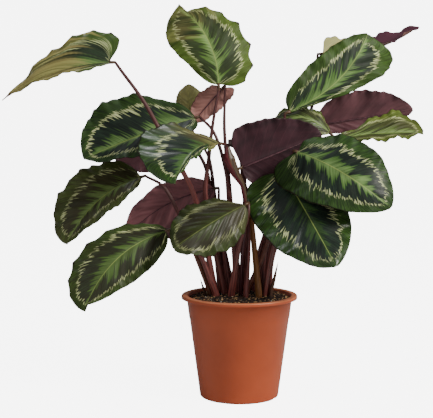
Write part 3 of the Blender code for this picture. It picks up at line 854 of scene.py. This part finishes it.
def makeFibreGroup():
    # fine fibres: Count is how many lie round a stalk, and Length how often each changes on its way
    tree, given, result = newGroup("fibres", ("Along", "Turn", "Length", "Count", "Seed"), ("Fibre",))
    lengthwise = times(given["Along"], given["Length"])
    spot = join(lengthwise, times(given["Turn"], given["Count"]), given["Seed"])
    feed(result["Fibre"], cloud(spot, 1.0, 3.0))
    return tree


def placeFibres(tree, fibres, look, along, turn, seed=0.0):
    length, count = look["fibres"]
    return placeGroup(tree, fibres, Along=along, Turn=turn, Length=length, Count=count, Seed=seed)["Fibre"]


stalkFinish = dict(
    low="8c4a44",
    lowDark="4f2524",
    high="532c2c",
    joint="5b4a2a",
    tan="8f632f",
    fibres=(6.0, 22.0),
    roughness=0.42,
    relief=(0.3, 0.0005),
)


def makeStalkMaterial(fibres):
    material, tree, shader = newMaterial("stalkSkin")
    look = stalkFinish
    along, turn = mapPlace(tree, "tubeMap")
    fibre = placeFibres(tree, fibres, look, along, turn, marked(tree, "leafSeed"))
    low = mix(fade(fibre, 0.35, 0.65), look["lowDark"], look["low"])
    colour = mix(fade(along, 0.15, 0.6), low, look["high"])
    colour = mix(fade(along, 0.955, 0.985, 0.0, 0.6), colour, look["joint"])
    tanned = times(marked(tree, "tan"), fade(along, 0.50, 0.22))
    colour = mix(tanned, colour, look["tan"])
    finishShader(shader, look, colour, look["roughness"], fibre)
    return material


ribFinish = dict(
    light="603a44",
    dark="3f222b",
    speckScale=160.0,
    speckDetail=3.0,
    speckRough=0.5,
    roughness=0.45,
    relief=(0.2, 0.0004),
)


def makeSpeckMaterial(name, look):
    # for the ribs, the soil and the grains on it
    material, tree, shader = newMaterial(name)
    speck = cloud(objectPlace(tree), look["speckScale"], look["speckDetail"], look["speckRough"])
    colour = mix(fade(speck, 0.35, 0.65), look["dark"], look["light"])
    finishShader(shader, look, colour, look["roughness"], speck)
    return material


# Young leaf, still rolled, and the dry sheaths at the foot of the stalks

youngLeaf = dict(
    foot=(0.002, -0.016),
    route=((0.004, -0.026, 0.240), (0.009, -0.038, 0.305), (0.005, -0.046, 0.347), (-0.008, -0.053, 0.371),
           (-0.018, -0.057, 0.394), (-0.020, -0.059, 0.413)),
    radii=(0.0034, 0.0032, 0.0028, 0.0026, 0.0036, 0.0074, 0.0095, 0.0030),
    points=90,
    sides=24,
    rollStep=0.16,  # how far the roll's outer turn stands out at its edge
    rollRidges=0.03,
    redSide=0.38,  # where on its way round the roll shows its red underside
    red="7e2b34",
    redDark="48171f",
    brown="5d4a34",
    brownDark="33241c",
    fibres=(9.0, 26.0),
    roughness=0.42,
    relief=(0.4, 0.0006),
)


def makeYoungLeaf(material):
    young = youngLeaf
    buried, risen = footPoints(young["foot"])
    way = smoothRoute([buried, risen, *[Vector(point) for point in young["route"]]], young["points"])
    radii = young["radii"]

    def radiusAt(share, turn):
        at = min(share * (len(radii) - 1), len(radii) - 1.001)
        k = int(at)
        plain = radii[k] + (radii[k + 1] - radii[k]) * (at - k)
        rolled = fadeIn(share, 0.45, 0.6)
        step = young["rollStep"] * (turn / (2 * pi)) - young["rollStep"] / 2
        return plain * (1 + rolled * step + young["rollRidges"] * rolled * cos(6 * turn))

    makeTube("youngRoll", way, radiusAt, young["sides"], [material], ["leaf_young"])


def makeYoungMaterial(fibres):
    material, tree, shader = newMaterial("youngLeafSkin")
    look = youngLeaf
    along, turn = mapPlace(tree, "tubeMap")
    fibre = placeFibres(tree, fibres, look, along, turn)
    streaked = fade(fibre, 0.3, 0.7)
    red = mix(streaked, look["redDark"], look["red"])
    brown = mix(streaked, look["brownDark"], look["brown"])
    flank = calc("ABSOLUTE", minus(turn, look["redSide"]))
    colour = mix(fade(flank, 0.24, 0.29), red, brown)
    colour = mix(fade(along, 0.55, 0.40), colour, look["redDark"])
    finishShader(shader, look, colour, look["roughness"], fibre)
    return material


drySheaths = {
    "right": dict(foot=(0.051, -0.012), tip=(0.0625, -0.020, 0.225), radius=0.0044),
    "left": dict(foot=(-0.056, -0.010), tip=(-0.064, -0.018, 0.198), radius=0.0026),
}

sheathFinish = dict(
    light="664632",
    dark="2e1a14",
    fibres=(5.0, 30.0),
    roughness=0.8,
    relief=(0.6, 0.0008),
    points=24,
    sides=18,
)


def makeSheath(name, sheath, material):
    buried, risen = footPoints(sheath["foot"])
    tip = Vector(sheath["tip"])
    way = smoothRoute([buried, risen, risen.lerp(tip, 0.5), tip], sheathFinish["points"])

    def radiusAt(share, turn):
        taper = max(0.04, 1 - share ** 3)
        return sheath["radius"] * taper * (0.78 + 0.17 * cos(2 * turn) + 0.05 * cos(7 * turn))

    makeTube("drySheath_" + name, way, radiusAt, sheathFinish["sides"], [material],
             ["dry_sheath_" + name])


def makeSheathMaterial(fibres):
    material, tree, shader = newMaterial("dryFibre")
    look = sheathFinish
    fibre = placeFibres(tree, fibres, look, *mapPlace(tree, "tubeMap"))
    colour = mix(fade(fibre, 0.3, 0.7), look["dark"], look["light"])
    finishShader(shader, look, colour, look["roughness"], fibre)
    return material


# Pot

pot = dict(
    height=0.1685,
    baseRadius=0.0654,
    wallTopRadius=0.0864,
    rimRadius=0.095,
    wall=0.0016,
    floor=0.0022,
    floorRound=0.003,
    lipThickness=0.0018,
    lipRound=0.0015,
    lipDrop=0.0054,
    lipEdge=(0.0003, 0.0004),  # how far the lip's lower edges are cut in and up
    stepHeight=0.131,
    stepDepth=0.0006,
    stepSlope=0.0004,
    baseRound=0.004,
    steps=160,
    drainRadius=0.005,
    drainRing=0.040,
    drainHoles=6,
    drainTurn=15,
    notchSize=(0.010, 0.012, 0.005),
    notchAngles=(-116, -26, 64, 154),
)

potFinish = dict(
    colour="bb5631",
    deep="a64826",
    evenness=0.55,
    pale="de9468",  # the light that the rim's edge catches
    rimFrom=0.0022,  # below the top
    rimTo=0.0004,
    rimShow=0.55,
    blotchScale=14.0,
    grainScale=900.0,
    roughness=0.34,
    roughnessChange=0.08,
    relief=(0.12, 0.0003),
)


def potRadius(height, inside=False):
    share = height / (pot["height"] - pot["lipDrop"])
    radius = pot["baseRadius"] + (pot["wallTopRadius"] - pot["baseRadius"]) * share
    if inside:
        return radius - pot["stepDepth"] - pot["wall"]
    return radius - (pot["stepDepth"] if height < pot["stepHeight"] else 0)


def quarter(radius, height, size, steps=8):
    # the points of an outer corner, from its top to its side
    turns = [pi / 2 * i / steps for i in range(steps + 1)]
    return [(radius - size * (1 - sin(a)), height - size * (1 - cos(a))) for a in turns]


def makeTurned(name, profile, steps, materials, replaced):
    form = bmesh.new()
    verts = [form.verts.new((radius, 0, height)) for radius, height in profile]
    edges = [form.edges.new(pair) for pair in zip(verts, verts[1:])]
    bmesh.ops.spin(form, geom=verts + edges, cent=(0, 0, 0), axis=(0, 0, 1), angle=2 * pi, steps=steps,
                   use_merge=True)
    bmesh.ops.remove_doubles(form, verts=form.verts, dist=1e-6)
    bmesh.ops.recalc_face_normals(form, faces=form.faces)
    return newPiece(name, form, materials, replaced)


def makePot(material):
    top = pot["height"]
    low = top - pot["lipDrop"]
    under = top - pot["lipThickness"]
    lipInside = pot["rimRadius"] - pot["wall"]
    edgeIn, edgeUp = pot["lipEdge"]
    stepTop = pot["stepHeight"] + pot["stepSlope"]
    stepFoot = pot["stepHeight"] - pot["stepSlope"]
    corner = quarter(potRadius(0), 0, pot["baseRound"])
    profile = [
        (0, pot["floor"]),
        (potRadius(pot["floor"], True) - pot["floorRound"], pot["floor"]),
        (potRadius(pot["floor"] + pot["floorRound"], True), pot["floor"] + pot["floorRound"]),
        (potRadius(top - pot["lipRound"], True), top - pot["lipRound"]),
        (potRadius(top, True) + pot["lipRound"] * 0.4, top - pot["lipRound"] * 0.25),
        (potRadius(top, True) + pot["lipRound"], top),
        *quarter(pot["rimRadius"], top, pot["lipThickness"]),
        (pot["rimRadius"], low + edgeUp),
        (pot["rimRadius"] - edgeIn, low),
        (lipInside + edgeIn, low),
        (lipInside, low + edgeUp),
        (lipInside, under),
        (potRadius(under), under),
        (potRadius(stepTop), stepTop),
        (potRadius(stepFoot), stepFoot),
        *[(radius, -height) for radius, height in reversed(corner)],
        (0, 0),
    ]
    cutDrains(makeTurned("potShell", profile, pot["steps"], [material], ["pot"]))


def ringPlace(radius, angle, height):
    return (radius * cos(angle), radius * sin(angle), height)


def cutDrains(piece):
    cutter = bmesh.new()
    for i in range(pot["drainHoles"]):
        angle = radians(360 * i / pot["drainHoles"] + pot["drainTurn"])
        made = bmesh.ops.create_cone(cutter, cap_ends=True, segments=24, radius1=pot["drainRadius"],
                                     radius2=pot["drainRadius"], depth=pot["floor"] * 3)
        place = ringPlace(pot["drainRing"], angle, pot["floor"] / 2)
        bmesh.ops.translate(cutter, verts=made["verts"], vec=place)
    for degrees in pot["notchAngles"]:
        angle = radians(degrees)
        made = bmesh.ops.create_cube(cutter, size=1)
        bmesh.ops.scale(cutter, verts=made["verts"], vec=pot["notchSize"])
        bmesh.ops.rotate(cutter, verts=made["verts"], cent=(0, 0, 0), matrix=Matrix.Rotation(angle, 3, "Z"))
        bmesh.ops.translate(cutter, verts=made["verts"], vec=ringPlace(pot["baseRadius"], angle, 0))
    tool = newObject("drainCutter", cutter)
    cut = piece.modifiers.new("drains", "BOOLEAN")
    cut.operation = "DIFFERENCE"
    cut.solver = "EXACT"
    cut.object = tool
    shape = piece.evaluated_get(bpy.context.evaluated_depsgraph_get())
    cutMesh = bpy.data.meshes.new_from_object(shape)
    piece.modifiers.clear()
    piece.data = cutMesh
    bpy.data.objects.remove(tool, do_unlink=True)


def makePotMaterial():
    material, tree, shader = newMaterial("potPlastic")
    look = potFinish
    place = objectPlace(tree)
    split = tree.nodes.new("ShaderNodeSeparateXYZ")
    tree.links.new(place, split.inputs[0])
    blotch = cloud(place, look["blotchScale"], 3.0)
    grain = cloud(place, look["grainScale"], 2.0)
    colour = mix(fade(blotch, 0.35, 0.7), look["deep"], look["colour"])
    colour = mix(look["evenness"], colour, look["colour"])
    top = pot["height"]
    rim = fade(split.outputs[2], top - look["rimFrom"], top - look["rimTo"], 0.0, look["rimShow"])
    colour = mix(rim, colour, look["pale"])
    rough = fade(blotch, 0.3, 0.7, look["roughness"], look["roughness"] + look["roughnessChange"])
    finishShader(shader, look, colour, rough, grain)
    return material


# Soil

soil = dict(
    belowRim=0.006,
    mound=0.008,
    gap=0.0004,
    round=0.0055,
    rings=36,
    steps=120,
    roughHeight=0.0022,
    roughScale=90,
    grainMargin=0.003,  # between the grains and the pot's wall
    grainUneven=0.16,  # how far a grain's corners stand in or out, as a share of its size
    grainLift=0.18,  # how far its middle lies above the soil
    light="2f2017",
    dark="110b07",
    speckScale=420.0,
)

grains = {
    "barkChips": dict(count=420, size=(0.0022, 0.0060), flat=0.45, light="4a2e1c", dark="23140d", seed=5),
    "paleChips": dict(count=420, size=(0.0016, 0.0045), flat=0.6, light="b8946a", dark="7d6040", seed=9),
    "peatCrumbs": dict(count=900, size=(0.0010, 0.0026), flat=0.8, light="2a1b12", dark="120b08", seed=13),
    "perlite": dict(count=60, size=(0.0010, 0.0024), flat=0.85, light="d8d2c4", dark="b3ab9b", seed=21),
}

# what the soil and its grains have alike, unless their own lines say another value
earthFinish = dict(speckScale=600.0, speckDetail=4.0, speckRough=0.7, roughness=0.92, relief=(0.7, 0.0012))


def soilHeight(radius):
    edge = pot["height"] - soil["belowRim"]
    return edge + soil["mound"] * (1 - (radius / potRadius(edge, inside=True)) ** 2)


def soilRough(x, y):
    spot = Vector((x * soil["roughScale"], y * soil["roughScale"], 0.0))
    return soil["roughHeight"] * noise.noise(spot) + 0.4 * soil["roughHeight"] * noise.noise(spot * 3.1)


def makeSoil(material):
    low = pot["floor"] + soil["gap"]
    edge = pot["height"] - soil["belowRim"]
    edgeRadius = potRadius(edge, True) - soil["gap"]
    rings = [edgeRadius * i / soil["rings"] for i in range(soil["rings"] + 1)]
    profile = [(radius, soilHeight(radius)) for radius in rings]
    profile += [
        (potRadius(low + soil["round"], True) - soil["gap"], low + soil["round"]),
        (potRadius(low, True) - soil["gap"] - soil["round"], low),
        (0, low),
    ]
    piece = makeTurned("pottingMix", profile, soil["steps"], [material], ["soil"])
    for vert in piece.data.vertices:
        radius = hypot(vert.co.x, vert.co.y)
        if vert.co.z > edge - 0.001:
            calm = 1 - (radius / edgeRadius) ** 8
            vert.co.z += soilRough(vert.co.x, vert.co.y) * calm


def makeGrains(name, kind, material):
    draw = random.Random(kind["seed"])
    reach = potRadius(pot["height"] - soil["belowRim"], True) - soil["grainMargin"]
    uneven = soil["grainUneven"]
    form = bmesh.new()
    for i in range(kind["count"]):
        radius = reach * sqrt(draw.random())
        angle = draw.uniform(0, 2 * pi)
        size = draw.uniform(*kind["size"])
        made = bmesh.ops.create_icosphere(form, subdivisions=1, radius=size / 2)
        verts = made["verts"]
        for vert in verts:
            vert.co += Vector([draw.uniform(-uneven, uneven) * size for axis in range(3)])
        stretch = (draw.uniform(0.8, 1.6), draw.uniform(0.6, 1.0), kind["flat"])
        bmesh.ops.scale(form, verts=verts, vec=stretch)
        turn = Matrix.Rotation(draw.uniform(0, 2 * pi), 3, "Z")
        bmesh.ops.rotate(form, verts=verts, cent=(0, 0, 0), matrix=turn)
        x, y = radius * cos(angle), radius * sin(angle)
        z = soilHeight(radius) + soilRough(x, y) + soil["grainLift"] * size * kind["flat"]
        bmesh.ops.translate(form, verts=verts, vec=(x, y, z))
    newPiece(name, form, [material])


# Stage: a wide pale floor under a plain bright background, and soft studio lights

stage = dict(reach=40.0, colour="c9c8c6", roughness=0.9, seenGlow=6.5, softGlow=0.13)

lights = {
    "key": dict(place=(1.7, -1.2, 1.5), aimHeight=0.3, size=0.9, power=64.0, colour=(1.0, 0.95, 0.88)),
    "left": dict(place=(-1.5, -1.1, 1.3), aimHeight=0.35, size=0.8, power=7.5, colour=(0.98, 0.98, 1.0)),
    "top": dict(place=(-0.3, 0.9, 2.1), aimHeight=0.35, size=0.8, power=9.5, colour=(0.97, 0.98, 1.0)),
    "fill": dict(place=(-0.4, -2.4, 0.7), aimHeight=0.3, size=1.4, power=4.0, colour=(1.0, 0.98, 0.94)),
}


def makeStage():
    form = bmesh.new()
    bmesh.ops.create_grid(form, x_segments=8, y_segments=8, size=stage["reach"])
    floor = newObject("floor", form)
    material, tree, shader = newMaterial("paleFloor")
    feed(shader.inputs["Base Color"], stage["colour"])
    shader.inputs["Roughness"].default_value = stage["roughness"]
    shader.inputs["Emission Color"].default_value = (1, 1, 1, 1)
    feed(shader.inputs["Emission Strength"], times(seenByCamera(tree), stage["seenGlow"]))
    floor.data.materials.append(material)


def makeLights():
    for name, light in lights.items():
        data = bpy.data.lights.new(name, "AREA")
        data.shape = "DISK"
        data.size = light["size"]
        data.energy = light["power"]
        data.color = light["colour"]
        lamp = newObject(name, data)
        lamp.location = light["place"]
        toward = Vector((0, 0, light["aimHeight"])) - Vector(light["place"])
        lamp.rotation_euler = toward.to_track_quat("-Z", "Y").to_euler()


def makeWorld():
    world = bpy.data.worlds.new("studio")
    world.use_nodes = True
    tree = world.node_tree
    background = tree.nodes["Background"]
    background.inputs["Color"].default_value = (1, 1, 1, 1)
    glow = timesPlus(seenByCamera(tree), stage["seenGlow"], stage["softGlow"])
    feed(background.inputs["Strength"], glow)
    bpy.context.scene.world = world


makeCamera()
makeStage()
makeLights()
makeWorld()
print("camera, stage and lights placed")

veinGroup = makeVeinGroup()
fibreGroup = makeFibreGroup()
bladeSides = [makeUpperMaterial(veinGroup), makeUnderMaterial(veinGroup)]
stalkSkin = makeStalkMaterial(fibreGroup)
ribSkin = makeSpeckMaterial("ribSkin", ribFinish)
for order, (leafName, ownShape) in enumerate(leafShapes.items()):
    leafShape = {**plainShape, **plainLook, **ownShape}
    makeBlade(leafName, leafShape, order, bladeSides)
    makeRib(leafName, leafShape, order, [ribSkin])
    makeStalk(leafName, leafShape, stalkRoutes[leafName], order, [stalkSkin])
print("leaves and stalks made")

makeYoungLeaf(makeYoungMaterial(fibreGroup))
dryFibre = makeSheathMaterial(fibreGroup)
for sheathName, drySheath in drySheaths.items():
    makeSheath(sheathName, drySheath, dryFibre)
print("young leaf and dry sheaths made")

makePot(makePotMaterial())
makeSoil(makeSpeckMaterial("peat", {**earthFinish, **soil}))
for grainName, grain in grains.items():
    makeGrains(grainName, grain, makeSpeckMaterial(grainName + "Skin", {**earthFinish, **grain}))
print("pot and soil made")

bpy.context.view_layer.update()
